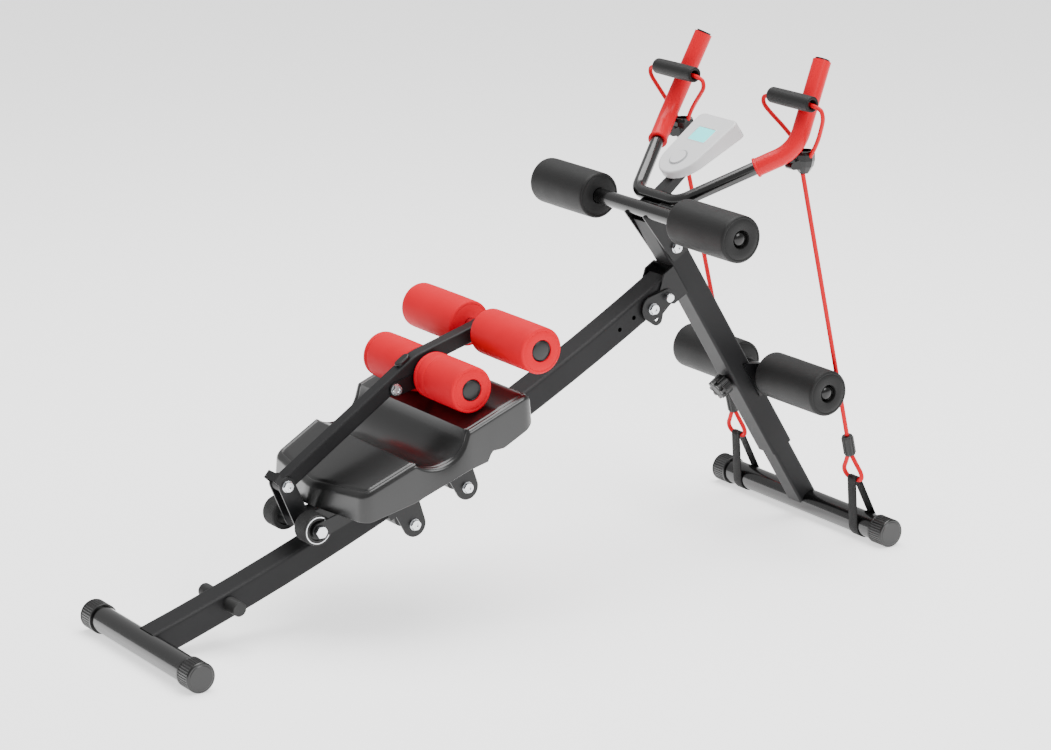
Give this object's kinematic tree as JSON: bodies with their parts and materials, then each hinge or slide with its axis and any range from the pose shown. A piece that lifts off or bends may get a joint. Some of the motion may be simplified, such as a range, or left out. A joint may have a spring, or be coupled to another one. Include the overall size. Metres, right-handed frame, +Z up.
{
  "type": "ab crunch machine",
  "caption": "Folding ab crunch machine: curved rail, rolling knee seat, swing arm with foam rollers, mast with handlebar and cords.",
  "frame": {"origin": "on the floor, midway along the machine's length and on its middle plane", "axes": "X across the machine, +Y from the front foot to the rear foot, +Z up"},
  "size_m": [0.458, 1.1354, 0.7126],
  "materials": {
    "frame_paint": "satin black-grey powder coat",
    "bracket_paint": "satin black paint",
    "gloss_black": "gloss black paint",
    "foot_plastic": "ribbed black plastic",
    "cap_plastic": "black plastic",
    "black_rubber": "black rubber",
    "roller_rubber": "dark rubber",
    "nylon": "black nylon",
    "zinc": "zinc plated",
    "black_foam": "fine-grained foam",
    "red_foam": "bright red foam",
    "red_grip": "glossy red sleeve",
    "handle_foam": "black foam",
    "white_plastic": "white moulded plastic",
    "lcd": "pale blue display",
    "red_cord": "red latex cord",
    "webbing": "black webbing",
    "seat_plastic": "satin black moulded plastic"
  },
  "bodies": {
    "base": {"rail": "frame_paint", "front_foot_tube": "frame_paint", "front_foot_caps": "foot_plastic", "stop_bumpers": "black_rubber"},
    "mast": {"mast_tube": "frame_paint", "fold_bracket": "bracket_paint", "lock_plate": "bracket_paint", "mast_bolts": "zinc", "handlebar_stem": "bracket_paint", "upper_axle": "gloss_black", "lower_axle": "gloss_black", "axle_end_caps": "cap_plastic", "axle_saddle": "bracket_paint", "handlebar": "gloss_black", "grips": "red_grip", "handlebar_plugs": "red_grip", "console_housing": "white_plastic", "console_screen": "lcd", "console_bracket": "bracket_paint", "cord_guides": "cap_plastic", "d_handles": "handle_foam", "handle_cord_right": "red_cord", "handle_cord_left": "red_cord", "resistance_cord_right": "red_cord", "resistance_cord_left": "red_cord"},
    "leg": {"leg_tube": "frame_paint", "rear_foot_tube": "frame_paint", "rear_foot_caps": "foot_plastic", "cord_crimps": "cap_plastic", "lower_loop_right": "red_cord", "lower_loop_left": "red_cord", "foot_straps": "webbing"},
    "knob": {"height_knob": "cap_plastic"},
    "lock_pin": {"fold_pin": "zinc"},
    "button": {"console_button": "white_plastic"},
    "carriage": {"seat_shell": "seat_plastic", "chassis": "bracket_paint", "chassis_bolts": "zinc", "arm_bracket": "bracket_paint", "front_axle": "zinc"},
    "swing_arm": {"arm_tube": "frame_paint", "roller_bracket": "bracket_paint", "arm_cap": "cap_plastic", "arm_bolt": "zinc", "arm_axles": "zinc", "arm_axle_caps": "cap_plastic"},
    "upper_black_roller_right": {"upper_black_roller_right": "black_foam"},
    "lower_black_roller_right": {"lower_black_roller_right": "black_foam"},
    "upper_red_roller_right": {"upper_red_roller_right": "red_foam"},
    "lower_red_roller_right": {"lower_red_roller_right": "red_foam"},
    "front_roller_right": {"front_roller_right": "roller_rubber"},
    "upper_black_roller_left": {"upper_black_roller_left": "black_foam"},
    "lower_black_roller_left": {"lower_black_roller_left": "black_foam"},
    "upper_red_roller_left": {"upper_red_roller_left": "red_foam"},
    "lower_red_roller_left": {"lower_red_roller_left": "red_foam"},
    "front_roller_left": {"front_roller_left": "roller_rubber"},
    "top_roller_front": {"top_roller_front": "nylon"},
    "top_roller_rear": {"top_roller_rear": "nylon"},
    "guide_roller_front": {"guide_roller_front": "nylon"},
    "guide_roller_rear": {"guide_roller_rear": "nylon"}
  },
  "joints": [
    {"name": "mast_fold", "type": "hinge", "parent": "base", "child": "mast", "pos_m": [0, 0.25022, 0.35996], "axis": [-1, 0, 0], "range_deg": [0, 90]},
    {"name": "height_slide", "type": "slide", "parent": "mast", "child": "leg", "axis": [0, 0.518, -0.8554], "range_m": [0, 0.115], "deforming": ["resistance_cord_right", "resistance_cord_left"]},
    {"name": "height_knob_pull", "type": "slide", "parent": "mast", "child": "knob", "axis": [0, -0.8554, -0.518], "range_m": [0, 0.012], "stiffness_N_per_m": 900},
    {"name": "fold_pin_pull", "type": "slide", "parent": "mast", "child": "lock_pin", "axis": [1, 0, 0], "range_m": [0, 0.015], "stiffness_N_per_m": 900},
    {"name": "console_press", "type": "slide", "parent": "mast", "child": "button", "axis": [0, 0.5678, -0.8231], "range_m": [0, 0.0015], "stiffness_N_per_m": 600},
    {"name": "carriage_slide", "type": "hinge", "parent": "base", "child": "carriage", "pos_m": [0, -1.59256, 3.51767], "axis": [1, 0, 0], "range_deg": [-1.57, 3.6]},
    {"name": "arm_lift", "type": "hinge", "parent": "carriage", "child": "swing_arm", "pos_m": [0, -0.33715, 0.2032], "axis": [1, 0, 0], "range_deg": [0, 48]},
    {"name": "upper_black_roller_right_spin", "type": "hinge", "parent": "mast", "child": "upper_black_roller_right", "pos_m": [0, 0.24745, 0.4993], "axis": [1, 0, 0], "continuous": true},
    {"name": "lower_black_roller_right_spin", "type": "hinge", "parent": "mast", "child": "lower_black_roller_right", "pos_m": [0, 0.45585, 0.235], "axis": [1, 0, 0], "continuous": true},
    {"name": "upper_red_roller_right_spin", "type": "hinge", "parent": "swing_arm", "child": "upper_red_roller_right", "pos_m": [0, -0.02305, 0.3697], "axis": [1, 0, 0], "continuous": true},
    {"name": "lower_red_roller_right_spin", "type": "hinge", "parent": "swing_arm", "child": "lower_red_roller_right", "pos_m": [0, -0.10955, 0.321], "axis": [1, 0, 0], "continuous": true},
    {"name": "front_roller_right_spin", "type": "hinge", "parent": "carriage", "child": "front_roller_right", "pos_m": [0, -0.31575, 0.149], "axis": [1, 0, 0], "continuous": true},
    {"name": "upper_black_roller_left_spin", "type": "hinge", "parent": "mast", "child": "upper_black_roller_left", "pos_m": [0, 0.24745, 0.4993], "axis": [1, 0, 0], "continuous": true},
    {"name": "lower_black_roller_left_spin", "type": "hinge", "parent": "mast", "child": "lower_black_roller_left", "pos_m": [0, 0.45585, 0.235], "axis": [1, 0, 0], "continuous": true},
    {"name": "upper_red_roller_left_spin", "type": "hinge", "parent": "swing_arm", "child": "upper_red_roller_left", "pos_m": [0, -0.02305, 0.3697], "axis": [1, 0, 0], "continuous": true},
    {"name": "lower_red_roller_left_spin", "type": "hinge", "parent": "swing_arm", "child": "lower_red_roller_left", "pos_m": [0, -0.10955, 0.321], "axis": [1, 0, 0], "continuous": true},
    {"name": "front_roller_left_spin", "type": "hinge", "parent": "carriage", "child": "front_roller_left", "pos_m": [0, -0.31575, 0.149], "axis": [1, 0, 0], "continuous": true},
    {"name": "top_roller_front_spin", "type": "hinge", "parent": "carriage", "child": "top_roller_front", "pos_m": [0, -0.2079, 0.17766], "axis": [1, 0, 0], "range_deg": [-818.2, 357.4]},
    {"name": "top_roller_rear_spin", "type": "hinge", "parent": "carriage", "child": "top_roller_rear", "pos_m": [0, -0.08309, 0.23218], "axis": [1, 0, 0], "range_deg": [-818.2, 357.4]},
    {"name": "guide_roller_front_spin", "type": "hinge", "parent": "carriage", "child": "guide_roller_front", "pos_m": [0, -0.16255, 0.12731], "axis": [1, 0, 0], "range_deg": [-515.2, 1180]},
    {"name": "guide_roller_rear_spin", "type": "hinge", "parent": "carriage", "child": "guide_roller_rear", "pos_m": [0, -0.07776, 0.16433], "axis": [1, 0, 0], "range_deg": [-515.2, 1180]}
  ],
  "couplings": [
    {"joint": "top_roller_front_spin", "follows": "carriage_slide", "ratio": -227},
    {"joint": "top_roller_rear_spin", "follows": "carriage_slide", "ratio": -227},
    {"joint": "guide_roller_front_spin", "follows": "carriage_slide", "ratio": 327.5},
    {"joint": "guide_roller_rear_spin", "follows": "carriage_slide", "ratio": 327.5}
  ]
}
